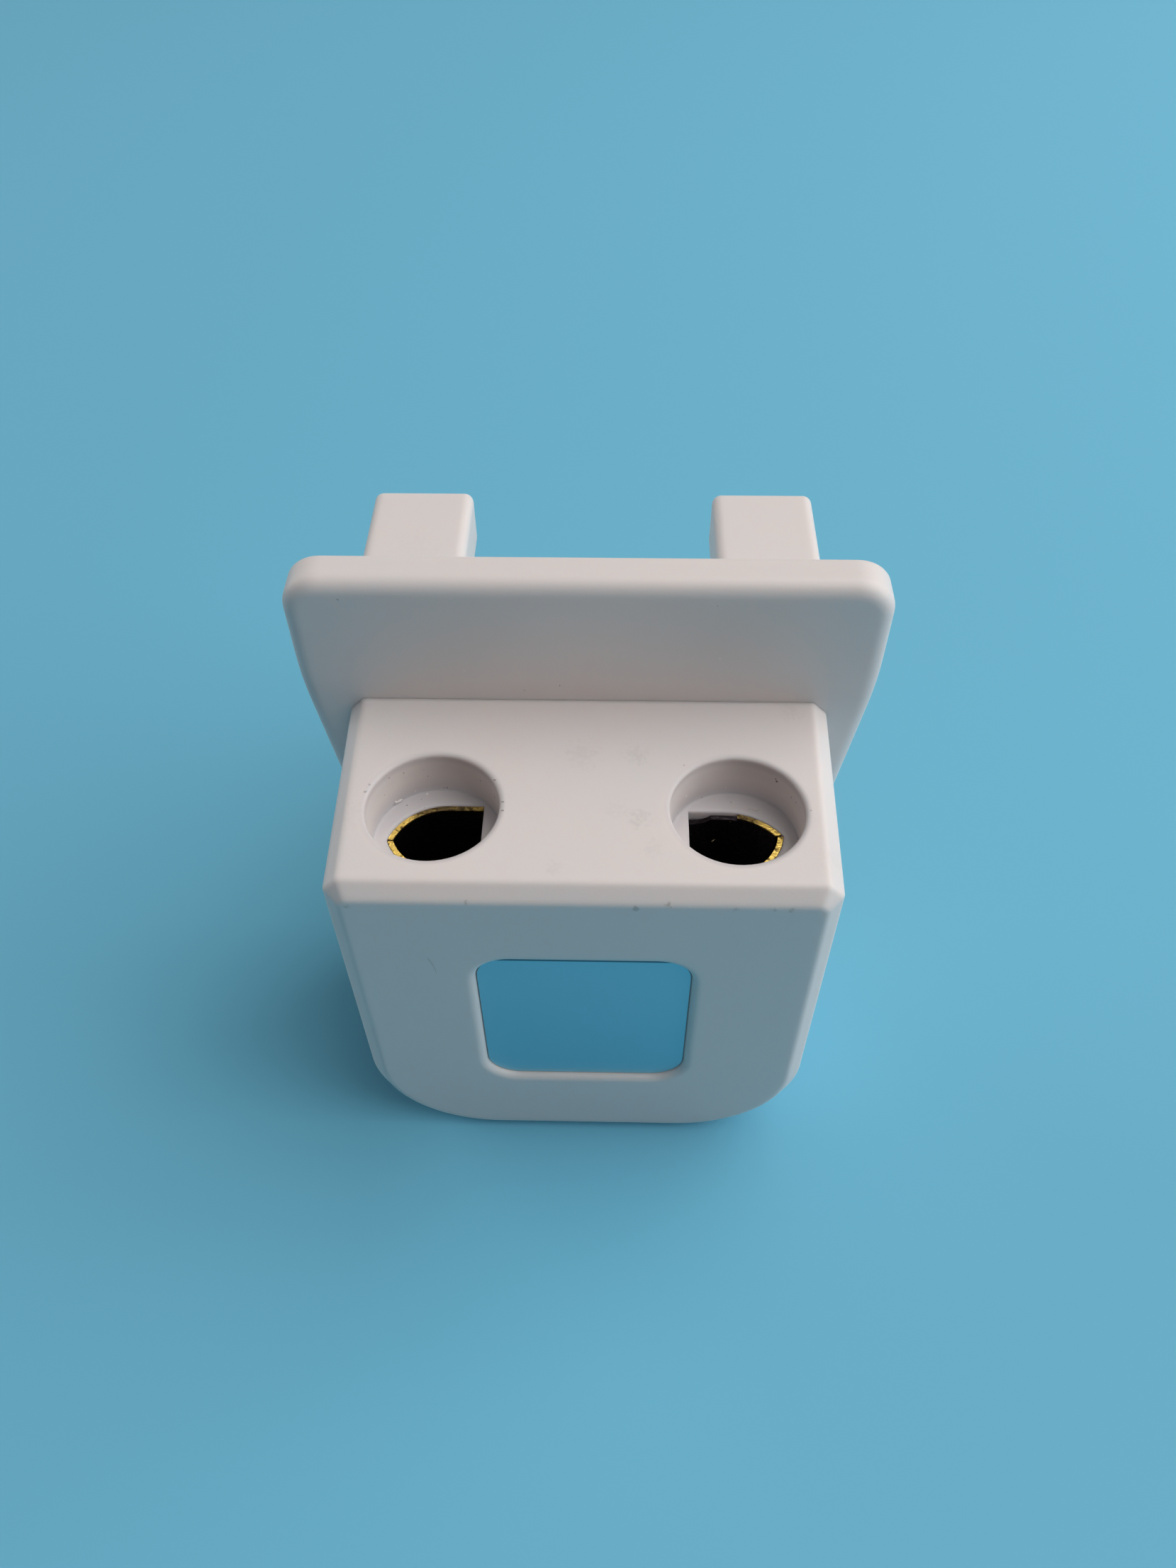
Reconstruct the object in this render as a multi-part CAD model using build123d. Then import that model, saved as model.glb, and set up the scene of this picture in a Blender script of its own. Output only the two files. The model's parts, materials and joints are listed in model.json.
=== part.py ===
from build123d import *
import math
import os

# An earthing plug: a small block with two round sockets, on a plate that carries three plug pins.
# Only the earth pin is metal. The other two are moulded dummies that hold the plug straight.
# Sizes are in millimetres. +Z is up, +X is to the right as the front is seen, +Y runs out along the pins.
# The origin is on the resting face, at the middle of the overall width and depth.

# Front block
block_depth = 14.2
block_height = 27.9
block_draft = 0.42            # each side stands this much further out at the plate than at the front
block_corner = 7.9            # the two lower corners
block_bevel = 0.87            # along the upper edges and round the front face
bevel_round = 0.4             # softens the borders of the bevel
block_wall = 2.4
cavity_corner = 3.0           # lower corners of the hollow

# Plug plate
plate_width = 34.2
plate_rise = 7.3              # above the centre line of the dummy pins
plate_thickness = 2.65
plate_corner = 2.2            # upper corners
plate_side = 7.6              # the upright part of each side, before the taper
plate_bend = 30.0             # radius where the taper starts
plate_front_edge = 0.9
plate_back_edge = 0.25        # chamfer round the back face
lip_height = 1.2              # locating lip that enters the block
lip_wall = 1.0
lip_gap = 0.12

# Plug pins, on the British three-pin centres
pin_spacing = 22.2            # between the two dummy pins
earth_drop = 22.2             # from the dummy pins down to the earth pin
earth_z = 7.2                 # centre of the earth pin above the resting face
dummy_width = 6.5
dummy_height = 4.0
dummy_length = 13.15
dummy_edge = 0.6
earth_width = 4.0
earth_height = 8.0
earth_length = 22.7
earth_tip = 1.0               # chamfer at the tip
earth_gap = 0.08              # between the pin and its slot in the plate
shoulder_width = 7.0          # stops the pin being pulled out
shoulder_height = 7.0
shoulder_thickness = 1.6
shank_height = 5.0            # inner end of the pin, which carries the strap
shank_overhang = 2.0          # how far it runs past the strap's centre line
spigot_radius = 1.2           # riveted over under the strap
spigot_head_radius = 1.9
spigot_head = 0.6

# Sockets in the top of the block
socket_spacing = 16.9
socket_setback = 8.25         # from the plate to the socket centres
socket_radius = 3.75
socket_side = 1.675           # from a socket to the side of the block, at its front
socket_depth = 3.05
socket_rim = 0.1              # bevel round the mouth
socket_boss_wall = 1.3
ledge_thickness = 0.8         # floor of the socket, pierced by the pin way
way_flat = 2.5                # from the socket centre to the flat end of the pin way
way_reach = 2.93              # from the socket centre to its pointed end
way_round = 3.4               # length of the curved sides that meet in the point
way_front = 2.5               # from the socket centre to its front side
left_way_back = 2.5           # from the socket centre to its back side
right_way_back = 2.25
left_way_tip = -0.09          # how far its point lies behind the socket centre
right_way_tip = 0.55

# Contacts: folded brass sheet, two leaves standing on a web
sheet = 0.3
leaf_gap = 0.04               # between a leaf and the edge of the pin way
leaf_drop = 0.03              # from the socket floor down to the top of the leaves
leaf_slit = 0.1               # between the two leaf ends
tear_length = 2.8             # torn upper edge of the right contact's back leaf, from its flat end
tear_shoulder = 1.3           # where the deep part of the tear ends
tear_depth = 0.7
tear_step = 0.24              # depth of the shallow part

# Strap between the contacts and the earth pin
strap_thickness = 0.8
strap_width = 5.6
strap_overhang = 2.6          # past each rivet
rivet_radius = 1.0
rivet_head_radius = 1.5
rivet_head = 0.6
rivet_gap = 0.05

# Ribs inside the block
rib = 1.2
rib_gap = 0.3                 # from a rib to the contact or strap beside it
rib_overhang = 3.2            # past the socket centres, towards the plate
strap_rest_offset = 4.2
pin_stop_width = 3.0

# Screw that draws the plate to the block
screw_height = 16.6
screw_radius = 1.2
screw_reach = 8.0             # from the plate into the block
screw_gap = 0.05
screw_hole_radius = 1.6
screw_head_radius = 2.6
screw_head = 1.3
screw_head_edge = 0.5         # chamfer round the head
screw_well_radius = 2.9
screw_well = 1.5
screw_boss_radius = 2.9
screw_slot = 0.7              # cross recess
screw_slot_length = 3.0
screw_slot_depth = 0.7
pilot_spare = 1.0             # the pilot hole runs on past the screw

# Label in its recess
label_width = 12.5
label_height = 13.9
label_corner = 2.1
label_centre = 14.4           # above the resting face
label_recess = 0.5
label_rim = 0.45              # rounding of the recess's edge
label_thickness = 0.12
label_gap = 0.08

# Places worked out from the sizes
overall_depth = block_depth + plate_thickness + earth_length
front_y = -overall_depth / 2
plate_face_y = front_y + block_depth
plate_back_y = plate_face_y + plate_thickness
socket_y = plate_face_y - socket_setback
pin_line_z = earth_z + earth_drop
plate_top = pin_line_z + plate_rise
socket_floor_z = block_height - socket_depth
ledge_under_z = socket_floor_z - ledge_thickness
strap_top_z = earth_z - shank_height / 2
strap_under_z = strap_top_z - strap_thickness
web_top_z = strap_top_z + sheet
shank_end_y = socket_y - shank_overhang
block_width = socket_spacing + 2 * (socket_radius + socket_side)
block_back_width = block_width + 2 * block_draft
cavity_front_y = front_y + block_wall
cavity_width = block_width - 2 * block_wall
web_length = way_flat - leaf_gap
rivet_x = socket_spacing / 2 - web_length / 2


def along_y(sketch, near_y, far_y):
    """Push an upright sketch, drawn in X and Z, from near_y back to far_y."""
    return extrude(Plane.XZ.offset(-far_y) * sketch, far_y - near_y)


def along_z(sketch, low_z, high_z):
    """Push a flat sketch, drawn in X and Y, from low_z up to high_z."""
    return extrude(Plane.XY.offset(low_z) * sketch, high_z - low_z)


def socket_centre(side):
    """Place of one socket in plan: side is -1 on the left and 1 on the right."""
    return Pos(side * socket_spacing / 2, socket_y)


def side_edges(block, row):
    """Edges of the block's two sides: row 0 along the bottom, row -1 along the top."""
    columns = block.faces().group_by(Axis.X)
    return [side.edges().group_by(Axis.Z)[row][0] for side in (columns[0][0], columns[-1][0])]


def sharp_edges(block):
    """Edges along which two faces meet at an angle, apart from those at the plate."""
    sharp = []
    for edge in block.edges():
        middle = edge.position_at(0.5)
        sides = [face.normal_at(middle) for face in block.faces() if edge in face.edges()]
        if sides[0].get_angle(sides[1]) > 5 and middle.Y < plate_face_y - bevel_round:
            sharp.append(edge)
    return sharp


def make_block():
    """The block before it is hollowed: drafted sides, large lower corners and softened bevels."""
    front = block_width / 2
    back = block_back_width / 2
    corners = [(-front, front_y), (front, front_y), (back, plate_face_y), (-back, plate_face_y)]
    block = along_z(make_face(Polyline(*corners, close=True).edges()), 0, block_height)
    block = fillet(side_edges(block, 0), block_corner)
    block = chamfer(side_edges(block, -1), block_bevel)
    block = chamfer(block.faces().sort_by(Axis.Y)[0].edges(), block_bevel)
    return fillet(sharp_edges(block), bevel_round)


def cavity_outline():
    """Upright outline of the hollow in the block, one wall inside the front face."""
    height = block_height - 2 * block_wall
    outline = Pos(0, block_height / 2) * Rectangle(cavity_width, height)
    return fillet(outline.vertices().group_by(Axis.Y)[0], cavity_corner)


def way_side(side, tip, edge, inset=0.0, end_gap=0.0):
    """Back or front side of a pin way, or of a leaf inside it: straight, then an arc to the point."""
    inwards = -1 if edge > 0 else 1
    drop = abs(edge - tip)
    radius = (way_round ** 2 + drop ** 2) / (2 * drop)
    level = edge + inwards * inset
    end_y = tip - inwards * end_gap
    bend_x = way_reach - way_round
    end_x = bend_x + math.sqrt((radius - inset) ** 2 - (end_y - edge - inwards * radius) ** 2)
    flat_x = web_length if inset > 0 else way_flat
    bend = (side * bend_x, level)
    return Line((-side * flat_x, level), bend) + TangentArc(bend, (side * end_x, end_y), tangent=(side, 0))


def pin_way(side, tip, back):
    """Hole in the socket floor: flat towards the middle of the block, pointed outwards."""
    flat_end = Line((-side * way_flat, back), (-side * way_flat, -way_front))
    outline = way_side(side, tip, back) + way_side(side, tip, -way_front) + flat_end
    return make_face(outline.edges())


def label_outline(gap):
    """Rounded rectangle of the label recess, drawn in by a gap."""
    outline = RectangleRounded(label_width - 2 * gap, label_height - 2 * gap, label_corner - gap)
    return Pos(0, label_centre) * outline


def make_front_housing():
    """The hollow block, with its sockets, label recess, ribs and screw boss."""
    housing = make_block() - along_y(cavity_outline(), cavity_front_y, plate_face_y)

    # Screw boss, the stop in front of the earth pin and the two rests under the strap
    screw_place = Pos(0, screw_height)
    housing += along_y(screw_place * Circle(screw_boss_radius), cavity_front_y, plate_face_y)
    stop = Pos(0, earth_z) * Rectangle(pin_stop_width, shank_height)
    housing += along_y(stop, cavity_front_y, shank_end_y)
    for side in (-1, 1):
        rest = Pos(side * strap_rest_offset, socket_y) * Rectangle(rib, strap_width)
        housing += along_z(rest, block_wall, strap_under_z)

    # Each socket hangs from the roof in a round boss, with a rib on its inner side to guide the contact
    for side in (-1, 1):
        place = socket_centre(side)
        boss = place * Circle(socket_radius + socket_boss_wall)
        housing += along_z(boss, ledge_under_z, block_height - block_wall)
        rib_length = socket_y + rib_overhang - cavity_front_y
        rib_x = -side * (way_flat + rib_gap + rib / 2)
        guide = place * Pos(rib_x, rib_overhang - rib_length / 2) * Rectangle(rib, rib_length)
        housing += along_z(guide, web_top_z + rib_gap, ledge_under_z)
    for side, tip, back in ((-1, left_way_tip, left_way_back), (1, right_way_tip, right_way_back)):
        place = socket_centre(side)
        housing -= along_z(place * Circle(socket_radius), socket_floor_z, block_height)
        housing -= along_z(place * pin_way(side, tip, back), ledge_under_z, socket_floor_z)

    pilot_end_y = plate_face_y - screw_reach - pilot_spare
    housing -= along_y(screw_place * Circle(screw_radius + screw_gap), pilot_end_y, plate_face_y)
    housing -= along_y(label_outline(0), front_y, front_y + label_recess)

    mouths = housing.faces().sort_by(Axis.Z)[-1].inner_wires().edges()
    housing = chamfer(mouths, socket_rim)
    recess_rim = housing.faces().sort_by(Axis.Y)[0].inner_wires().edges()
    return fillet(recess_rim, label_rim)


def plate_outline():
    """Upright outline of the plate. Its tapered sides run down to the block's lower corners."""
    half = plate_width / 2
    bend_z = plate_top - plate_side
    corner_x = half - (block_back_width / 2 - block_corner)
    corner_z = bend_z - block_corner
    lean = math.atan2(corner_x, corner_z) - math.asin(block_corner / math.hypot(corner_x, corner_z))
    foot = half - bend_z * math.tan(lean)
    right = [(foot, 0), (half, bend_z), (half, plate_top)]
    left = [(-x, z) for x, z in reversed(right)]
    outline = make_face(Polyline(*right, *left, close=True).edges())
    rows = outline.vertices().group_by(Axis.Y)
    outline = fillet(rows[0], block_corner)
    outline = fillet(outline.vertices().group_by(Axis.Y)[-1], plate_corner)
    bends = [v for v in outline.vertices() if abs(v.Y - bend_z) < 0.001]
    return fillet(bends, plate_bend)


def make_base_plate():
    """The plate, with its locating lip, the two dummy pins, the earth pin's slot and the screw hole."""
    plate = along_y(plate_outline(), plate_face_y, plate_back_y)
    plate = fillet(plate.faces().sort_by(Axis.Y)[0].edges(), plate_front_edge)
    plate = chamfer(plate.faces().sort_by(Axis.Y)[-1].edges(), plate_back_edge)

    lip = offset(cavity_outline(), -lip_gap) - offset(cavity_outline(), -lip_gap - lip_wall)
    plate += along_y(lip, plate_face_y - lip_height, plate_face_y)

    for side in (-1, 1):
        section = Pos(side * pin_spacing / 2, pin_line_z) * Rectangle(dummy_width, dummy_height)
        pin = along_y(section, plate_back_y, plate_back_y + dummy_length)
        pin = fillet(pin.edges().filter_by(Axis.Y), dummy_edge)
        plate += fillet(pin.faces().sort_by(Axis.Y)[-1].edges(), dummy_edge)

    slot = Pos(0, earth_z) * Rectangle(earth_width + 2 * earth_gap, earth_height + 2 * earth_gap)
    plate -= along_y(slot, plate_face_y, plate_back_y)
    screw_place = Pos(0, screw_height)
    plate -= along_y(screw_place * Circle(screw_hole_radius), plate_face_y, plate_back_y)
    plate -= along_y(screw_place * Circle(screw_well_radius), plate_back_y - screw_well, plate_back_y)
    return plate


def make_earth_pin():
    """The solid brass earth pin: chamfered blade, shoulder, and a shank riveted to the strap."""
    blade = along_y(Pos(0, earth_z) * Rectangle(earth_width, earth_height), plate_face_y, -front_y)
    blade = chamfer(blade.faces().sort_by(Axis.Y)[-1].edges(), earth_tip)
    shoulder_y = plate_face_y - shoulder_thickness
    shoulder = Pos(0, earth_z) * Rectangle(shoulder_width, shoulder_height)
    pin = blade + along_y(shoulder, shoulder_y, plate_face_y)
    pin += along_y(Pos(0, earth_z) * Rectangle(earth_width, shank_height), shank_end_y, shoulder_y)
    pin += along_z(Pos(0, socket_y) * Circle(spigot_radius), strap_under_z, strap_top_z)
    pin += along_z(Pos(0, socket_y) * Circle(spigot_head_radius), strap_under_z - spigot_head, strap_under_z)
    return pin


def make_contact(side, tip, back):
    """One contact: two leaves that line the pin way and meet at a slit, folded up from a riveted web."""
    inset = leaf_gap + sheet / 2
    back_leaf = way_side(side, tip, back, inset, leaf_slit / 2)
    front_leaf = way_side(side, tip, -way_front, inset, leaf_slit / 2)
    place = socket_centre(side)
    leaf_top_z = socket_floor_z - leaf_drop
    contact = along_z(place * trace(back_leaf, sheet), strap_top_z, leaf_top_z)
    contact += along_z(place * trace(front_leaf, sheet), strap_top_z, leaf_top_z)
    web = Pos(0, (back - way_front) / 2) * Rectangle(web_length, back + way_front - 2 * inset)
    web -= Circle(rivet_radius + rivet_gap)
    contact += along_z(place * Pos(-side * web_length / 2, 0) * web, strap_top_z, web_top_z)
    slit = Pos(side * way_reach, tip) * Rectangle(way_reach, leaf_slit)
    return contact - along_z(place * slit, strap_top_z, leaf_top_z)


def tear_back_leaf(contact):
    """The right contact with the upper edge of its back leaf torn down, in a wave from the flat end."""
    start = (0, -tear_depth)
    shoulder = (tear_shoulder, -tear_step)
    wave = Spline(start, (tear_shoulder / 2, -0.9 * tear_depth), shoulder)
    rest = Polyline(shoulder, (tear_length, -tear_step), (tear_length, sheet), (0, sheet), start)
    outline = make_face(wave.edges() + rest.edges())
    flat_end = Pos(socket_spacing / 2 - web_length, socket_floor_z - leaf_drop)
    return contact - along_y(flat_end * outline, socket_y, socket_y + right_way_back)


def make_earth_strap():
    """The flat brass strap that joins both contacts to the earth pin."""
    length = 2 * (rivet_x + strap_overhang)
    outline = Pos(0, socket_y) * SlotOverall(length, strap_width)
    outline -= Pos(0, socket_y) * Circle(spigot_radius)
    for side in (-1, 1):
        outline -= Pos(side * rivet_x, socket_y) * Circle(rivet_radius + rivet_gap)
    return along_z(outline, strap_under_z, strap_top_z)


def make_contact_rivets():
    """A rivet through each contact's web and the strap below it."""
    rivets = []
    for side in (-1, 1):
        place = Pos(side * rivet_x, socket_y)
        rivet = along_z(place * Circle(rivet_radius), strap_under_z, web_top_z)
        rivet += along_z(place * Circle(rivet_head_radius), web_top_z, web_top_z + rivet_head)
        rivet += along_z(place * Circle(rivet_head_radius), strap_under_z - rivet_head, strap_under_z)
        rivets.append(rivet)
    return Compound(children=rivets)


def make_housing_screw():
    """The screw that holds the plate to the block, with a cross recess in its sunk head."""
    place = Pos(0, screw_height)
    head_y = plate_back_y - screw_well
    head_top_y = head_y + screw_head
    screw = along_y(place * Circle(screw_radius), plate_face_y - screw_reach, head_y)
    head = along_y(place * Circle(screw_head_radius), head_y, head_top_y)
    screw += chamfer(head.faces().sort_by(Axis.Y)[-1].edges(), screw_head_edge)
    for across in (Rectangle(screw_slot_length, screw_slot), Rectangle(screw_slot, screw_slot_length)):
        screw -= along_y(place * across, head_top_y - screw_slot_depth, head_top_y)
    return screw


def make_front_label():
    """The foil label, stuck to the floor of its recess."""
    floor_y = front_y + label_recess
    return along_y(label_outline(label_gap), floor_y - label_thickness, floor_y)


pieces = {
    "front_housing": make_front_housing(),
    "base_plate": make_base_plate(),
    "earth_pin": make_earth_pin(),
    "left_contact": make_contact(-1, left_way_tip, left_way_back),
    "right_contact": tear_back_leaf(make_contact(1, right_way_tip, right_way_back)),
    "earth_strap": make_earth_strap(),
    "contact_rivets": make_contact_rivets(),
    "housing_screw": make_housing_screw(),
    "front_label": make_front_label(),
}

os.makedirs("parts", exist_ok=True)
for name, piece in pieces.items():
    export_step(piece, f"parts/{name}.step")
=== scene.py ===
import bmesh
import bpy
import json
import math
import random
from mathutils import Matrix, Vector


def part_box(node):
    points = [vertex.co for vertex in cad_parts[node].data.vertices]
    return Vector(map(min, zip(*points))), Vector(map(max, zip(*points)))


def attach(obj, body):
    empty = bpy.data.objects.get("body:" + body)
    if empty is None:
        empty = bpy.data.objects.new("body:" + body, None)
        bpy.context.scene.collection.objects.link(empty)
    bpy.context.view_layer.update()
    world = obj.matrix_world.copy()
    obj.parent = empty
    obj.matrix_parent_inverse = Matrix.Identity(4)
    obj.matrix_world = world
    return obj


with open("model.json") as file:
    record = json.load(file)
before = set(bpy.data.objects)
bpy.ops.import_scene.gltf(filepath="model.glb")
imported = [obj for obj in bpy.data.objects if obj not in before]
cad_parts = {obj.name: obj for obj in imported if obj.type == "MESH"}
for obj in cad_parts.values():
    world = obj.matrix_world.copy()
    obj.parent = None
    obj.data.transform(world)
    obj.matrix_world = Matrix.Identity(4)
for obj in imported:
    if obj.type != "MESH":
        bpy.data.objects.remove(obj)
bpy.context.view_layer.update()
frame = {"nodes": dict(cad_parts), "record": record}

# Earth pin: a solid brass blade that stands out of the plate, milled from bar and chamfered at its tip.
# It is the only live pin. Its shoulder sits behind the plate and its spigot is riveted to the strap.
# The tumbled brass has fine lengthwise scratches and a little darker bloom where it has been handled.
MM = 0.001
bright_brass = (0.80, 0.56, 0.23, 1)
dull_brass = (0.50, 0.33, 0.12, 1)
bloom_limits = (0.42, 0.66)
bloom_share = 0.3
clean_rough = 0.29
bloom_rough = 0.42
scratch_depth = 0.012
edge_samples = 6


def add(tree, kind, inputs, **settings):
    """A new node, with its inputs by name or number as values or other nodes' outputs.
    Gives its first output."""
    made = tree.nodes.new("ShaderNode" + kind)
    for name, value in settings.items():
        setattr(made, name, value)
    for socket, value in inputs.items():
        if isinstance(value, bpy.types.NodeSocket):
            tree.links.new(value, made.inputs[socket])
        else:
            made.inputs[socket].default_value = value
    return made.outputs[0]


def maths(tree, operation, first, second=0.0):
    return add(tree, "Math", {0: first, 1: second}, operation=operation)


def ease(tree, value, start, end):
    """0 up to start, 1 from end on, and a smooth rise between them. Start may be the larger."""
    limits = {"Value": value, "From Min": start, "From Max": end}
    return add(tree, "MapRange", limits, interpolation_type="SMOOTHSTEP")


def between(tree, share, low, high):
    """A number that goes from low to high as the share goes from 0 to 1."""
    return add(tree, "MapRange", {"Value": share, "To Min": low, "To Max": high})


def tint(tree, share, first, second):
    """Two colours mixed by a share that changes over the surface.
    The node takes colours at its inputs 6 and 7, and gives one at its output 2."""
    mixed = add(tree, "Mix", {0: share, 6: first, 7: second}, data_type="RGBA")
    return mixed.node.outputs[2]


def place_in_mm(tree):
    """The point on the piece, in millimetres of the part's own frame."""
    place = add(tree, "TexCoord", {}).node.outputs["Object"]
    return add(tree, "VectorMath", {0: place, "Scale": 1 / MM}, operation="SCALE")


def new_group(name, inputs, outputs):
    """An empty node group with float sockets. Gives its tree, and its input and output nodes."""
    tree = bpy.data.node_groups.new(name, "ShaderNodeTree")
    for socket in inputs:
        tree.interface.new_socket(socket, in_out="INPUT", socket_type="NodeSocketFloat")
    for socket in outputs:
        tree.interface.new_socket(socket, in_out="OUTPUT", socket_type="NodeSocketFloat")
    return tree, tree.nodes.new("NodeGroupInput"), tree.nodes.new("NodeGroupOutput")


def use_group(tree, group, inputs):
    """Place a node group in a material with its own values. Gives its outputs by name."""
    made = tree.nodes.new("ShaderNodeGroup")
    made.node_tree = group
    for socket, value in inputs.items():
        made.inputs[socket].default_value = value
    return made.outputs


def new_material(name):
    """A new material, with its tree and its Principled shader."""
    material = bpy.data.materials.new(name)
    material.use_nodes = True
    return material, material.node_tree, material.node_tree.nodes["Principled BSDF"]


def finish_surface(tree, shader, colour, roughness, height, depth, edge_softness=0.0):
    """Join the colour, the roughness and a relief of this depth to the shader.
    An edge softness rounds the shading of the edges. Both are in millimetres."""
    tree.links.new(colour, shader.inputs["Base Color"])
    tree.links.new(roughness, shader.inputs["Roughness"])
    relief = {"Strength": 1.0, "Distance": depth * MM, "Height": height}
    if edge_softness:
        relief["Normal"] = add(tree, "Bevel", {"Radius": edge_softness * MM}, samples=edge_samples)
    tree.links.new(add(tree, "Bump", relief), shader.inputs["Normal"])


def dress(node_name, material):
    """Give a CAD node its finished material."""
    mesh = frame["nodes"][node_name].data
    mesh.materials.clear()
    mesh.materials.append(material)


def make_worn_metal():
    """Node group: fine scratches along the piece, and soft blotches of bloom, by sizes in millimetres."""
    tree, given, result = new_group("worn_metal", ["Scratch width", "Scratch length", "Blotch size"],
                                    ["Scratches", "Blotches"])
    place = place_in_mm(tree)
    across = maths(tree, "DIVIDE", 1.0, given.outputs["Scratch width"])
    along = maths(tree, "DIVIDE", 1.0, given.outputs["Scratch length"])
    pace = add(tree, "CombineXYZ", {"X": across, "Y": along, "Z": across})
    drawn = add(tree, "VectorMath", {0: place, 1: pace}, operation="MULTIPLY")
    scratches = add(tree, "TexNoise", {"Vector": drawn, "Scale": 1.0, "Detail": 4.0, "Roughness": 0.65})
    pace = maths(tree, "DIVIDE", 1.0, given.outputs["Blotch size"])
    blotches = add(tree, "TexNoise", {"Vector": place, "Scale": pace, "Detail": 5.0, "Roughness": 0.6})
    tree.links.new(scratches, result.inputs["Scratches"])
    tree.links.new(ease(tree, blotches, *bloom_limits), result.inputs["Blotches"])
    return tree


worn_metal = make_worn_metal()


def make_brass(name, scratch_width, scratch_length, blotch_size):
    """Solid brass with scratches and bloom."""
    material, tree, shader = new_material(name)
    wear = use_group(tree, worn_metal, {"Scratch width": scratch_width, "Scratch length": scratch_length,
                                        "Blotch size": blotch_size})
    shader.inputs["Metallic"].default_value = 1.0
    colour = tint(tree, between(tree, wear["Blotches"], 0.0, bloom_share), bright_brass, dull_brass)
    rough = between(tree, wear["Blotches"], clean_rough, bloom_rough)
    finish_surface(tree, shader, colour, rough, wear["Scratches"], scratch_depth)
    return material


dress("earth_pin", make_brass("pin_brass", scratch_width=0.12, scratch_length=2.5, blotch_size=3.0))

# Strap: a flat brass strip inside the block that joins both contacts to the earth pin.
# It is stamped from sheet, lies on two moulded rests and is held by the pin's spigot.
dress("earth_strap", make_brass("strap_brass", scratch_width=1.5, scratch_length=0.1, blotch_size=2.0))

# Contact rivets: two turned brass rivets that hold the contacts to the strap.
# They go through both pieces and are upset by a press.
dress("contact_rivets", make_brass("rivet_brass", scratch_width=0.2, scratch_length=0.2, blotch_size=1.2))

# Contacts: sheet brass folded into two springy leaves that line each pin way, and riveted to the strap.
# The leaves' faces are dark with oil and tarnish. Their upper edges are sheared and are all that shows:
# bright gold where they turn into the point, browned along the back, with dark streaks across the cut.
tarnished_brass = (0.034, 0.028, 0.032, 1)
sheared_gold = (0.86, 0.60, 0.15, 1)
browned_brass = (0.15, 0.105, 0.045, 1)
streak_brown = (0.07, 0.045, 0.018, 1)
sheared_depth = 0.12
point_start = 9.6             # from the middle of the plug to where the gold of the point starts
point_end = 10.4
flat_start = 7.2              # and to where the paler gold of the flat end starts
flat_end = 6.4
flat_share = 0.4
patch_size = 0.6
patch_limits = (0.45, 0.65)
patch_share = 0.22
chip_size = 0.24
streak_limits = (0.54, 0.64)
streak_share = 0.85
cut_smooth = 0.28
cut_rough = 0.5
cut_depth = 0.07


def noise(tree, place, size, detail=2.0):
    """Soft noise whose lumps are about this many millimetres across."""
    return add(tree, "TexNoise", {"Vector": place, "Scale": 1 / size, "Detail": detail})


def highest(tree, values):
    """The largest of several masks."""
    top = values[0]
    for value in values[1:]:
        top = maths(tree, "MAXIMUM", top, value)
    return top


def make_contact_brass():
    """Dark sheet with a sheared upper edge that goes from brown to gold."""
    material, tree, shader = new_material("contact_brass")
    place = place_in_mm(tree)
    axes = add(tree, "SeparateXYZ", {"Vector": place}).node.outputs
    from_middle = maths(tree, "ABSOLUTE", axes["X"])
    at_point = ease(tree, from_middle, point_start, point_end)
    at_flat = between(tree, ease(tree, from_middle, flat_start, flat_end), 0.0, flat_share)
    patches = between(tree, ease(tree, noise(tree, place, patch_size), *patch_limits), 0.0, patch_share)
    colour = tint(tree, highest(tree, [at_point, at_flat, patches]), browned_brass, sheared_gold)
    chips = noise(tree, place, chip_size, detail=3.0)
    streaks = between(tree, ease(tree, chips, *streak_limits), 0.0, streak_share)
    colour = tint(tree, streaks, colour, streak_brown)
    leaf_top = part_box("left_contact")[1].z / MM
    edge = ease(tree, axes["Z"], leaf_top - sheared_depth, leaf_top - 0.5 * sheared_depth)
    colour = tint(tree, edge, tarnished_brass, colour)
    shader.inputs["Metallic"].default_value = 1.0
    finish_surface(tree, shader, colour, between(tree, chips, cut_smooth, cut_rough), chips, cut_depth)
    return material


contact_brass = make_contact_brass()
dress("left_contact", contact_brass)
dress("right_contact", contact_brass)

# Brass slivers: two splinters from the shearing, stuck in the oil on the right contact's back leaf.
# Each has its centre and half lengths in millimetres, and its lean in degrees.
leaf_face_y = -11.925         # front of that leaf
slivers = [
    ((7.54, leaf_face_y, 22.60), (0.18, 0.04, 0.045), 55),
    ((8.41, leaf_face_y, 24.41), (0.045, 0.03, 0.04), 0),
]
sliver_gold = (0.95, 0.78, 0.48, 1)
chip_seed = 7
chip_smallest = 0.72
chip_largest = 1.15
chip_grain = 0.06
chip_limits = (0.4, 0.65)
chip_relief = 0.01
chip_rough_range = 0.2
chance = random.Random(chip_seed)


def new_piece(name, mesh, material):
    """A small piece that stays with the part."""
    shape = bpy.data.meshes.new(name)
    mesh.to_mesh(shape)
    mesh.free()
    shape.materials.append(material)
    piece = bpy.data.objects.new(name, shape)
    bpy.context.scene.collection.objects.link(piece)
    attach(piece, "root")
    return piece


def add_chip(mesh, centre, halves, turn_degrees, turn_axis):
    """A broken chip: an uneven lump with these half lengths, turned about one axis."""
    lump = bmesh.ops.create_icosphere(mesh, subdivisions=2, radius=1.0)["verts"]
    turn = Matrix.Rotation(math.radians(turn_degrees), 3, turn_axis)
    for corner in lump:
        uneven = corner.co * chance.uniform(chip_smallest, chip_largest)
        corner.co = (Vector(centre) + turn @ (uneven * Vector(halves))) * MM


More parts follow.
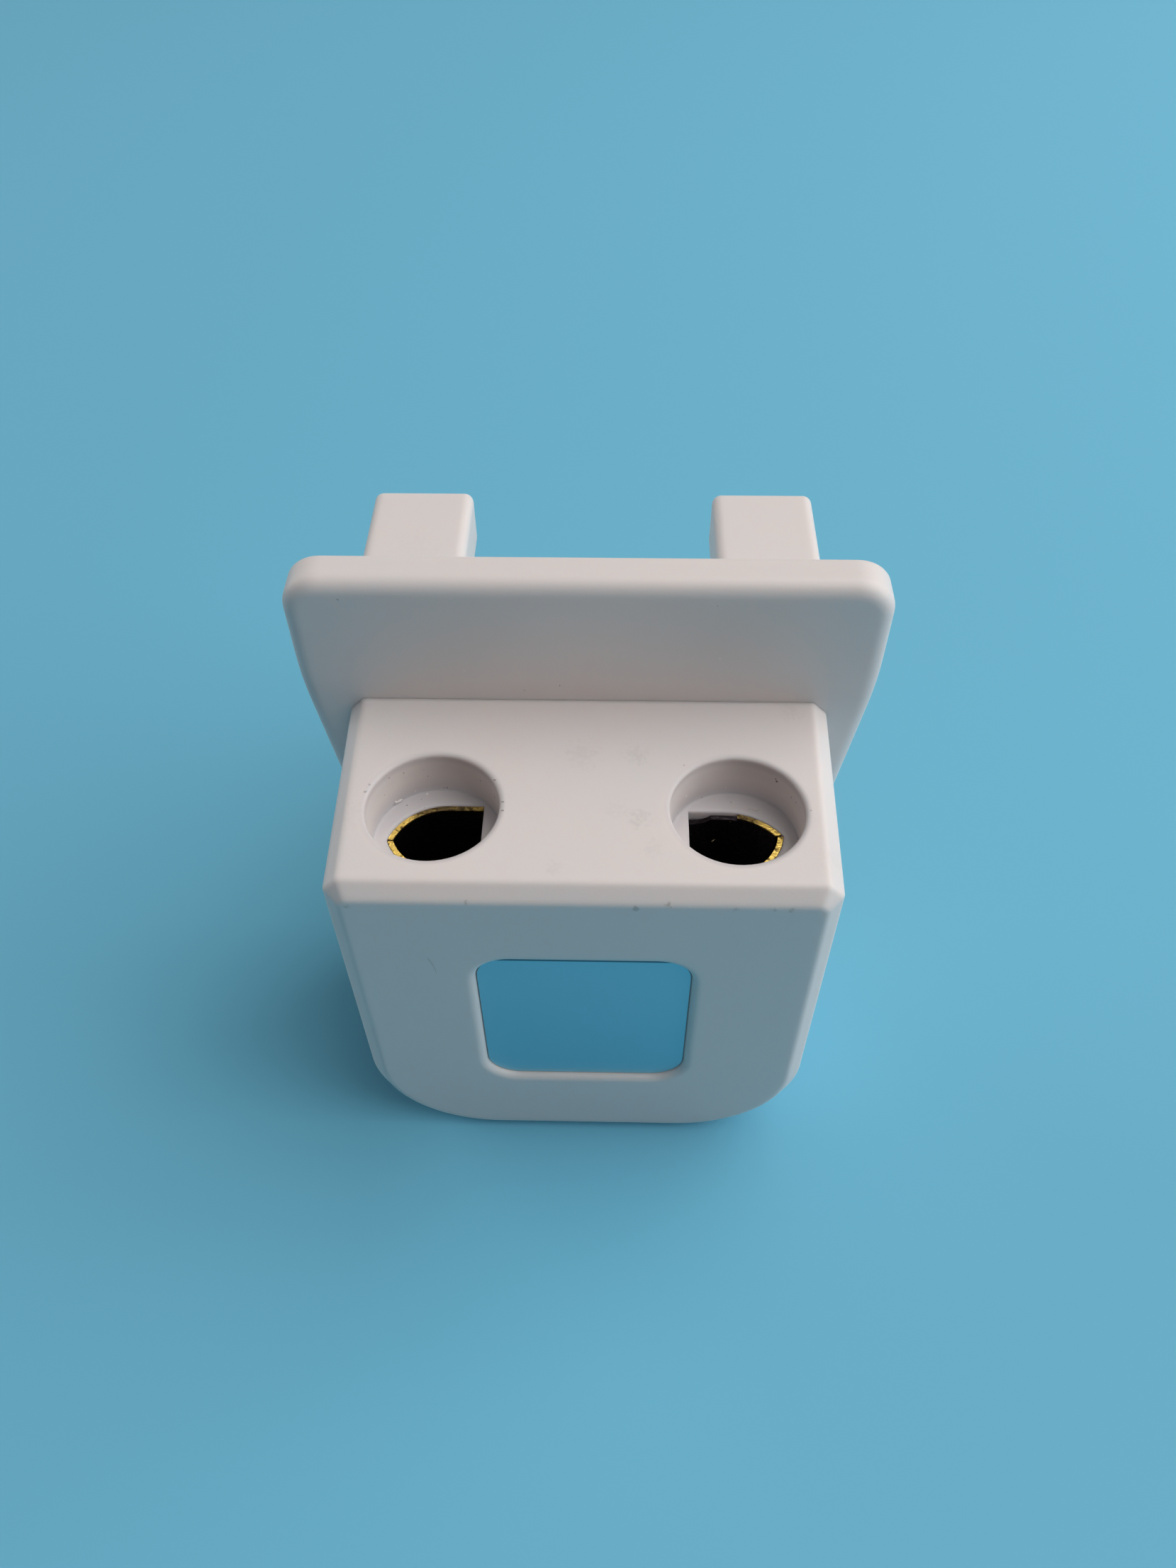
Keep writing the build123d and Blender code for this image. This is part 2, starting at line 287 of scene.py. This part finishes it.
def make_chip_material(name, colour, dark_colour, metallic, rough):
    """A broken surface with a fine grain of two colours, of this roughness and more."""
    material, tree, shader = new_material(name)
    grain = noise(tree, place_in_mm(tree), chip_grain)
    shader.inputs["Metallic"].default_value = metallic
    mixed = tint(tree, ease(tree, grain, *chip_limits), colour, dark_colour)
    roughness = between(tree, grain, rough, rough + chip_rough_range)
    finish_surface(tree, shader, mixed, roughness, grain, chip_relief)
    return material


sliver_mesh = bmesh.new()
for centre, halves, lean in slivers:
    add_chip(sliver_mesh, centre, halves, -lean, "Y")
sliver_brass = make_chip_material("sliver_brass", sliver_gold, browned_brass, metallic=0.4, rough=0.3)
new_piece("brass_slivers", sliver_mesh, sliver_brass)

# Front block: one hollow injection moulding in warm white plastic with a fine matte skin.
# Two round sockets are sunk in its top, and the label lies in a shallow recess of its front.
# Handling has left faint grey smudges on top, small dark specks round the sockets and a few pale scuffs.
warm_white = (0.745, 0.680, 0.660, 1)
cool_white = (0.725, 0.675, 0.665, 1)
smudge_grey = (0.42, 0.39, 0.37, 1)
painted_shade_grey = (0.42, 0.41, 0.45, 1)
speck_brown = (0.075, 0.062, 0.055, 1)
scuff_white = (0.93, 0.91, 0.89, 1)
skin_smooth = 0.40
skin_rough = 0.48
skin_depth = 0.005
moulded_edge = 0.45
glow_share = 0.5              # light that goes through the skin, and how far its three colours go
glow_reach = (1.0, 0.75, 0.62)
glow_scale = 0.8
drift_limits = (0.3, 0.7)
speck_lumps = 1 / 9
speck_stir = 0.3
speck_rim = (-0.01, 0.02)
mark_stir = 2.8


def make_moulded_skin():
    """Node group: the fine grain of the mould, and the slow drift of tone in the plastic."""
    tree, given, result = new_group("moulded_skin", ["Grain size", "Drift size"], ["Grain", "Drift"])
    place = place_in_mm(tree)
    pace = maths(tree, "DIVIDE", 1.0, given.outputs["Grain size"])
    grain = add(tree, "TexNoise", {"Vector": place, "Scale": pace, "Detail": 3.0, "Roughness": 0.6})
    pace = maths(tree, "DIVIDE", 1.0, given.outputs["Drift size"])
    drift = add(tree, "TexNoise", {"Vector": place, "Scale": pace, "Detail": 2.0})
    tree.links.new(grain, result.inputs["Grain"])
    tree.links.new(ease(tree, drift, *drift_limits), result.inputs["Drift"])
    return tree


def stirring(tree, place, size):
    """A push that wanders to all sides, with lumps about this many millimetres across."""
    wander = noise(tree, place, size, detail=3.0).node.outputs["Color"]
    return add(tree, "VectorMath", {0: wander, 1: (0.5, 0.5, 0.5)}, operation="SUBTRACT")


def make_specks():
    """Node group: scattered small specks of uneven shape, in a share of the cells of a loose grid."""
    tree, given, result = new_group("specks", ["Cell size", "Largest", "Share"], ["Specks"])
    place = place_in_mm(tree)
    push = add(tree, "VectorMath", {0: stirring(tree, place, speck_lumps), "Scale": speck_stir},
               operation="SCALE")
    place = add(tree, "VectorMath", {0: place, 1: push}, operation="ADD")
    pace = maths(tree, "DIVIDE", 1.0, given.outputs["Cell size"])
    cells = add(tree, "TexVoronoi", {"Vector": place, "Scale": pace}).node
    distance = maths(tree, "MULTIPLY", cells.outputs["Distance"], given.outputs["Cell size"])
    chances = add(tree, "SeparateColor", {"Color": cells.outputs["Color"]}).node
    chosen = maths(tree, "LESS_THAN", chances.outputs["Red"], given.outputs["Share"])
    radius = maths(tree, "MULTIPLY", chances.outputs["Green"], given.outputs["Largest"])
    inside = ease(tree, maths(tree, "SUBTRACT", radius, distance), *speck_rim)
    tree.links.new(maths(tree, "MULTIPLY", inside, chosen), result.inputs["Specks"])
    return tree


moulded_skin = make_moulded_skin()
specks = make_specks()


def marks_at(tree, place, marks, softness, raggedness):
    """Masks of marks left by handling: each has a place and a radius in millimetres, and a strength.
    Raggedness is the size of the lumps in their outlines."""
    stir = stirring(tree, place, raggedness)
    masks = []
    for centre, radius, strength in marks:
        push = add(tree, "VectorMath", {0: stir, "Scale": mark_stir * radius}, operation="SCALE")
        point = add(tree, "VectorMath", {0: place, 1: push}, operation="ADD")
        apart = add(tree, "VectorMath", {0: point, 1: centre}, operation="DISTANCE")
        mask = ease(tree, apart.node.outputs["Value"], radius, radius * (1 - softness))
        masks.append(maths(tree, "MULTIPLY", mask, strength))
    return highest(tree, masks)


def make_white_plastic(name, marks, scuffs, smudges, speck_and_shade_zones):
    """The white moulding: grain and drift of tone, then painted shade, smudges, scuffs, specks and single
    marks.
    """
    material, tree, shader = new_material(name)
    place = place_in_mm(tree)
    skin = use_group(tree, moulded_skin, {"Grain size": 0.13, "Drift size": 9.0})
    colour = tint(tree, skin["Drift"], warm_white, cool_white)
    speck_zone, painted_shade_zone = speck_and_shade_zones(tree, place)
    # Painted shade: a cool grey darkens the places that the zones give.
    colour = tint(tree, painted_shade_zone, colour, painted_shade_grey)
    colour = tint(tree, marks_at(tree, place, smudges, softness=1.0, raggedness=0.3), colour, smudge_grey)
    colour = tint(tree, marks_at(tree, place, scuffs, softness=0.6, raggedness=0.12), colour, scuff_white)
    scattered = use_group(tree, specks, {"Cell size": 0.6, "Largest": 0.04, "Share": 0.28})["Specks"]
    scattered = maths(tree, "MULTIPLY", scattered, speck_zone)
    single = marks_at(tree, place, marks, softness=0.5, raggedness=0.1)
    colour = tint(tree, highest(tree, [scattered, single]), colour, speck_brown)
    rough = between(tree, skin["Drift"], skin_smooth, skin_rough)
    shader.inputs["Subsurface Weight"].default_value = glow_share
    shader.inputs["Subsurface Radius"].default_value = glow_reach
    shader.inputs["Subsurface Scale"].default_value = glow_scale * MM
    finish_surface(tree, shader, colour, rough, skin["Grain"], skin_depth, moulded_edge)
    return material


block_low, block_high = (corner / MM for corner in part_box("front_housing"))
block_top = block_high.z
front_y = block_low.y
ledge = 24.85                 # height of the sockets' floors
block_marks = [
    ((-5.12, -11.90, block_top), 0.10, 0.6),
    ((-4.56, -13.51, block_top), 0.10, 0.7),
    ((-4.52, -14.14, block_top), 0.09, 0.6),
    ((-12.11, -12.40, block_top), 0.11, 0.4),
    ((-12.29, -12.92, block_top), 0.11, 0.4),
    ((5.58, -10.65, block_top), 0.05, 0.6),
    ((12.45, -13.84, block_top), 0.06, 0.5),
    ((-10.49, -10.68, 27.00), 0.06, 0.8),
    ((-11.24, -11.32, 27.27), 0.06, 0.7),
    ((-9.44, -10.21, 26.72), 0.04, 0.6),
    ((-9.25, -10.16, 26.12), 0.04, 0.6),
    ((-8.23, -10.08, 25.00), 0.08, 0.6),
    ((-8.44, -10.08, 24.98), 0.05, 0.6),
    ((-11.57, -11.75, 26.27), 0.04, 0.6),
    ((-12.16, -14.40, 27.06), 0.05, 0.6),
    ((-6.09, -10.91, 26.64), 0.07, 0.6),
    ((-5.22, -11.92, 26.39), 0.08, 0.6),
    ((-10.51, -11.35, ledge), 0.05, 0.8),
    ((-9.70, -10.90, ledge), 0.05, 0.7),
    ((-9.46, -11.51, ledge), 0.03, 0.6),
    ((8.48, -10.82, ledge), 0.05, 0.7),
    ((10.83, -10.93, 27.13), 0.06, 0.9),
    ((10.90, -10.98, 26.98), 0.09, 0.9),
    ((11.68, -11.93, 26.68), 0.07, 0.8),
    ((11.91, -12.37, 26.78), 0.06, 0.8),
    ((12.07, -12.85, 26.94), 0.05, 0.8),
    ((6.79, -10.46, ledge), 0.05, 0.6),
]
block_scuffs = [
    ((5.83, -11.14, 25.79), 0.10, 0.9),
    ((8.17, -10.09, 25.30), 0.06, 0.6),
    ((10.85, -10.94, 25.16), 0.05, 0.6),
    ((11.47, -11.60, 25.73), 0.05, 0.6),
    ((-9.41, -10.46, ledge), 0.10, 0.7),
    ((-9.30, -10.40, 24.95), 0.07, 0.7),
    ((-10.07, -10.44, 25.08), 0.08, 0.6),
]
block_smudges = [
    ((-0.2, -9.9, block_top), 1.3, 0.15),
    ((2.9, -9.9, block_top), 0.9, 0.20),
    ((1.7, -14.0, block_top), 0.9, 0.10),
    ((3.0, -14.5, block_top), 0.9, 0.24),
    ((12.0, -6.5, block_top), 0.9, 0.14),
    ((3.7, -16.7, block_top), 0.8, 0.12),
    ((-1.5, -18.0, block_top), 0.6, 0.14),
    ((-13.2, -14.5, block_top - 0.5), 1.6, 0.08),
    ((13.4, -17.0, block_top - 0.5), 1.4, 0.08),
    ((-6.13, front_y + 0.03, 27.03), 0.20, 0.8),
    ((2.79, front_y, 26.79), 0.30, 0.9),
    ((4.53, front_y + 0.05, 27.08), 0.22, 0.9),
    ((8.06, front_y, 26.82), 0.24, 0.6),
    ((10.08, front_y, 26.87), 0.26, 0.7),
    ((10.98, front_y, 26.82), 0.22, 0.7),
    ((-12.55, front_y, 26.64), 0.28, 0.6),
    # The last two darken the wall of the right pin way just below the socket's floor.
    ((6.35, -11.57, 24.35), 0.55, 0.3),
    ((6.95, -11.57, 24.30), 0.50, 0.3),
]
rim_specks = 0.4
rim_specks_end = 0.6          # from the wall of a socket
rim_specks_full = 0.1
edge_specks = 0.35
edge_back_end = 1.2           # behind the front face
edge_back_full = 0.4
edge_low_end = 1.8            # below the top
edge_low_full = 1.0
# Painted shade: how strongly a cool grey darkens the sockets' floors, front to back, and their mouths.
floor_shade_front = 0.2
floor_shade_back = 0.5
floor_shade_turn = 1.5         # from the middle of a socket, both ways
floor_shade_height = 1.5
floor_shade_side = 0.3
mouth_shade = 0.34
mouth_shade_end = 0.4          # from the wall of a socket
mouth_shade_full = 0.1
mouth_low_end = 0.8           # below the top
mouth_low_full = 0.3


def block_specks_and_shade(tree, place):
    """Specks gather round the mouths of the sockets and along the upper front edge.
    Painted shade: a cool grey darkens the sockets' floors, more towards the back, and the plastic round
    their mouths."""
    mount = next(mount for mount in frame["record"]["mounts"] if mount["name"] == "right_socket")
    centre = Vector(mount["pos_m"]) / MM
    radius = mount["dims"]["r_mm"]
    axes = add(tree, "SeparateXYZ", {"Vector": place}).node.outputs
    aside = maths(tree, "SUBTRACT", maths(tree, "ABSOLUTE", axes["X"]), centre.x)
    ahead = maths(tree, "SUBTRACT", axes["Y"], centre.y)
    flat = add(tree, "CombineXYZ", {"X": aside, "Y": ahead, "Z": 0.0})
    distance = add(tree, "VectorMath", {0: flat}, operation="LENGTH").node.outputs["Value"]
    off_wall = maths(tree, "ABSOLUTE", maths(tree, "SUBTRACT", distance, radius))
    near_rim = ease(tree, off_wall, rim_specks_end, rim_specks_full)
    at_rim = maths(tree, "MULTIPLY", near_rim, rim_specks)
    near_front = ease(tree, axes["Y"], front_y + edge_back_end, front_y + edge_back_full)
    near_top = ease(tree, axes["Z"], block_top - edge_low_end, block_top - edge_low_full)
    at_edge = maths(tree, "MULTIPLY", maths(tree, "MULTIPLY", near_front, near_top), edge_specks)
    # Painted shade on the floors, stronger towards the back, and round the mouths.
    inside = ease(tree, distance, radius + floor_shade_side, radius)
    low_down = maths(tree, "MULTIPLY", inside, ease(tree, axes["Z"], ledge + floor_shade_height, ledge))
    behind = ease(tree, ahead, -floor_shade_turn, floor_shade_turn)
    on_floor = maths(tree, "MULTIPLY", low_down, between(tree, behind, floor_shade_front, floor_shade_back))
    near_mouth = ease(tree, off_wall, mouth_shade_end, mouth_shade_full)
    high_up = ease(tree, axes["Z"], block_top - mouth_low_end, block_top - mouth_low_full)
    at_mouth = maths(tree, "MULTIPLY", maths(tree, "MULTIPLY", near_mouth, high_up), mouth_shade)
    return highest(tree, [at_rim, at_edge]), highest(tree, [on_floor, at_mouth])


dress("front_housing",
      make_white_plastic("housing_plastic", block_marks, block_scuffs, block_smudges, block_specks_and_shade))

# Crumb and hairs: a flake of trimmed plastic in the corner of the left socket, in two lumps given as the
# slivers are, and two fine hairs that cling to the right socket's floor and to the front of the block.
crumb_white = (0.80, 0.77, 0.76, 1)
crumb_shade = (0.58, 0.54, 0.53, 1)
crumbs = [
    ((-10.98, -11.14, 24.98), (0.30, 0.08, 0.06), 38),
    ((-11.16, -11.24, 25.06), (0.11, 0.08, 0.07), 60),
]
hair_grey = (0.40, 0.38, 0.37, 1)
hair_dark = (0.20, 0.18, 0.17, 1)
hair_thickness = 0.022
hair_tip = 0.4
hair_sides = 6
hairs = [
    [(9.36, -11.42, ledge), (9.52, -11.30, ledge), (9.70, -11.36, ledge), (9.86, -11.47, ledge),
     (10.02, -11.43, ledge), (10.12, -11.32, ledge)],
    [(-8.76, front_y, 21.79), (-8.66, front_y, 21.46), (-8.55, front_y, 21.10), (-8.47, front_y, 20.75),
     (-8.41, front_y, 20.38), (-8.37, front_y, 20.04)],
]
crumb_mesh = bmesh.new()
for centre, halves, turned in crumbs:
    add_chip(crumb_mesh, centre, halves, turned, "Z")
crumb_plastic = make_chip_material("crumb_plastic", crumb_white, crumb_shade, metallic=0.0, rough=0.4)
new_piece("socket_crumb", crumb_mesh, crumb_plastic)


def add_hair(mesh, path):
    """A thin round hair through these points, finer at both ends."""
    points = [Vector(point) * MM for point in path]
    last = len(points) - 1
    angles = [2 * math.pi * side / hair_sides for side in range(hair_sides)]
    rings = []
    for step, point in enumerate(points):
        ahead = points[min(step + 1, last)] - points[max(step - 1, 0)]
        turn = ahead.to_track_quat("Z", "X")
        radius = 0.5 * hair_thickness * MM * (hair_tip if step in (0, last) else 1.0)
        around = [turn @ Vector((math.cos(angle), math.sin(angle), 0)) * radius for angle in angles]
        rings.append([mesh.verts.new(point + offset) for offset in around])
    for near, far in zip(rings, rings[1:]):
        for side in range(hair_sides):
            mesh.faces.new((near[side - 1], near[side], far[side], far[side - 1]))
    mesh.faces.new(reversed(rings[0]))
    mesh.faces.new(rings[last])


hair_mesh = bmesh.new()
for path in hairs:
    add_hair(hair_mesh, path)
hair_fibre = make_chip_material("hair_fibre", hair_grey, hair_dark, metallic=0.0, rough=0.5)
new_piece("stray_hairs", hair_mesh, hair_fibre)

# Plug plate: the second white moulding, behind the block, with the two dummy pins moulded on its back.
# It is drawn against the block by the screw. Its skin is cleaner, with a few stray specks on the front.
plate_front = block_high.y
plate_marks = [
    ((-1.64, plate_front, 29.11), 0.07, 0.6),
    ((-3.73, plate_front, 28.70), 0.06, 0.5),
    ((-13.70, plate_front, 35.59), 0.08, 0.4),
    ((7.18, plate_front, 35.35), 0.06, 0.4),
]
plate_scuffs = [
    ((7.58, plate_front, 31.38), 0.08, 0.8),
    ((-7.18, plate_front, 30.25), 0.06, 0.7),
]
plate_smudges = [
    ((-11.0, 4.0, 31.4), 2.6, 0.05),
    ((11.5, 2.0, 31.4), 2.4, 0.05),
    ((16.4, -4.5, 35.0), 1.4, 0.07),
    ((-16.0, -4.8, 33.0), 1.6, 0.05),
]
seam_specks = 0.25
# Painted shade: how strongly the crease along the seam is darkened.
seam_shade = 0.06
seam_end = 1.6                # above the block
seam_full = 0.2


def plate_specks_and_shade(tree, place):
    """A few specks, and a faint painted shade in the crease along the seam, just above the block."""
    axes = add(tree, "SeparateXYZ", {"Vector": place}).node.outputs
    seam = ease(tree, axes["Z"], block_top + seam_end, block_top + seam_full)
    return maths(tree, "MULTIPLY", seam, seam_specks), maths(tree, "MULTIPLY", seam, seam_shade)


dress("base_plate",
      make_white_plastic("plate_plastic", plate_marks, plate_scuffs, plate_smudges, plate_specks_and_shade))

# Screw: a plated steel cross-head screw that draws the plate to the block from behind.
# Its turned head carries fine marks of the tool and lies just below the face of the plate.
bright_steel = (0.60, 0.60, 0.61, 1)
grey_steel = (0.33, 0.33, 0.34, 1)
dulled_share = 0.4
plated_rough = 0.29
dulled_rough = 0.45
turning_depth = 0.01


def make_screw_steel():
    """Plated steel with fine turning marks and duller blotches."""
    material, tree, shader = new_material("screw_steel")
    wear = use_group(tree, worn_metal, {"Scratch width": 0.15, "Scratch length": 0.15, "Blotch size": 0.9})
    shader.inputs["Metallic"].default_value = 1.0
    colour = tint(tree, between(tree, wear["Blotches"], 0.0, dulled_share), bright_steel, grey_steel)
    rough = between(tree, wear["Blotches"], plated_rough, dulled_rough)
    finish_surface(tree, shader, colour, rough, wear["Scratches"], turning_depth)
    return material


dress("housing_screw", make_screw_steel())

# Label: a smooth satin foil stuck to the floor of the recess in the front. It is bare.
# Its blue tint, a little lighter towards its top, is a painted reflection of the blue floor in front.
# It carries a few specks of dust, and a painted shadow darkens it just under the rim.
foil_reflected_blue_top = (0.28, 0.565, 0.67, 1)
foil_reflected_blue_low = (0.25, 0.555, 0.67, 1)
foil_speck = (0.05, 0.16, 0.21, 1)
rim_shadow_dark = (0.02, 0.07, 0.10, 1)
dust_share = 0.5
rim_shade_start = 0.40        # below the upper edge of the foil
rim_shade_full = 0.34
rim_shade_share = 0.85
foil_metal = 0.7
foil_smooth = 0.29
foil_rough = 0.35
foil_relief = 0.01


def make_label_foil():
    """Foil with a painted reflection of the floor, dust, and a painted shadow line under the rim."""
    material, tree, shader = new_material("label_foil")
    height = add(tree, "SeparateXYZ", {"Vector": place_in_mm(tree)}).node.outputs["Z"]
    low, high = (corner.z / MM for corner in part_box("front_label"))
    # Painted reflection: the blue floor seen in the foil, a little lighter towards the top.
    colour = tint(tree, ease(tree, height, low, high), foil_reflected_blue_low, foil_reflected_blue_top)
    dust = use_group(tree, specks, {"Cell size": 1.6, "Largest": 0.045, "Share": 0.25})["Specks"]
    colour = tint(tree, maths(tree, "MULTIPLY", dust, dust_share), colour, foil_speck)
    # Painted shadow: a dark line just under the rim of the recess.
    painted_rim_shadow = ease(tree, height, high - rim_shade_start, high - rim_shade_full)
    colour = tint(tree, maths(tree, "MULTIPLY", painted_rim_shadow, rim_shade_share), colour, rim_shadow_dark)
    skin = use_group(tree, moulded_skin, {"Grain size": 3.0, "Drift size": 5.0})
    rough = between(tree, skin["Drift"], foil_smooth, foil_rough)
    shader.inputs["Metallic"].default_value = foil_metal
    finish_surface(tree, shader, colour, rough, skin["Grain"], foil_relief)
    return material


dress("front_label", make_label_foil())

# Floor: a plain pale blue sheet under the plug, far larger than the view.
floor_half = 0.7
floor_colour = (0.15, 0.48, 0.67, 1)
floor_rough = 0.9
floor_corners = [(-floor_half, -floor_half, 0), (floor_half, -floor_half, 0),
                 (floor_half, floor_half, 0), (-floor_half, floor_half, 0)]
floor_mesh = bpy.data.meshes.new("floor")
floor_mesh.from_pydata(floor_corners, [], [(0, 1, 2, 3)])
floor = bpy.data.objects.new("floor", floor_mesh)
bpy.context.scene.collection.objects.link(floor)
floor_material, _, floor_shader = new_material("floor_sheet")
floor_shader.inputs["Base Color"].default_value = floor_colour
floor_shader.inputs["Roughness"].default_value = floor_rough
floor_mesh.materials.append(floor_material)

# Light: a large soft panel overhead and to the right, a weak one low on each side, and a pale surround.
# Each panel has its place and width in metres, its power in watts and its colour.
panels = [
    ("overhead_panel", (0.36, 0.04, 0.50), 0.80, 4.8, (1.0, 0.985, 0.96)),
    ("right_panel", (0.60, -0.06, 0.17), 0.40, 0.74, (0.95, 0.98, 1.0)),
    ("left_panel", (-0.60, 0.25, 0.25), 0.50, 1.20, (1.0, 0.99, 0.97)),
]
panel_target = Vector((0, 0, 0.02))
surround_colour = (0.95, 0.97, 1.0, 1)
fill_strength = 0.05
shown_strength = 0.75
for name, place, width, power, colour in panels:
    panel = bpy.data.lights.new(name, "AREA")
    panel.size = width
    panel.energy = power
    panel.color = colour
    lamp = bpy.data.objects.new(name, panel)
    lamp.location = place
    lamp.rotation_euler = (panel_target - Vector(place)).to_track_quat("-Z", "Y").to_euler()
    bpy.context.scene.collection.objects.link(lamp)
surround = bpy.data.worlds.new("surround")
surround.use_nodes = True
sky = surround.node_tree
rays = add(sky, "LightPath", {}).node.outputs
shown = highest(sky, [rays["Is Camera Ray"], rays["Is Glossy Ray"], rays["Is Transmission Ray"]])
backdrop = sky.nodes["Background"].inputs
backdrop["Color"].default_value = surround_colour
sky.links.new(between(sky, shown, fill_strength, shown_strength), backdrop["Strength"])
bpy.context.scene.world = surround
bpy.context.scene.view_settings.view_transform = "Standard"

# Camera: close in front of the plug and above it, at the photograph's place and angle.
image_height = 2212
focal_pixels = 1710.4
camera_place = Vector((1.525, -56.17, 79.715)) * MM
pitch, yaw, roll = (math.radians(angle) for angle in (49.626, 1.782, -0.692))
camera_data = bpy.data.cameras.new("camera")
camera_data.sensor_fit = "VERTICAL"
camera_data.sensor_height = 36.0
camera_data.lens = focal_pixels / image_height * camera_data.sensor_height
camera_data.clip_start = 1 * MM
camera = bpy.data.objects.new("camera", camera_data)
tilt = Matrix.Rotation(math.pi / 2 - pitch, 4, "X") @ Matrix.Rotation(roll, 4, "Z")
camera.matrix_world = Matrix.Translation(camera_place) @ Matrix.Rotation(yaw, 4, "Z") @ tilt
bpy.context.scene.collection.objects.link(camera)
bpy.context.scene.camera = camera

bpy.context.view_layer.update()
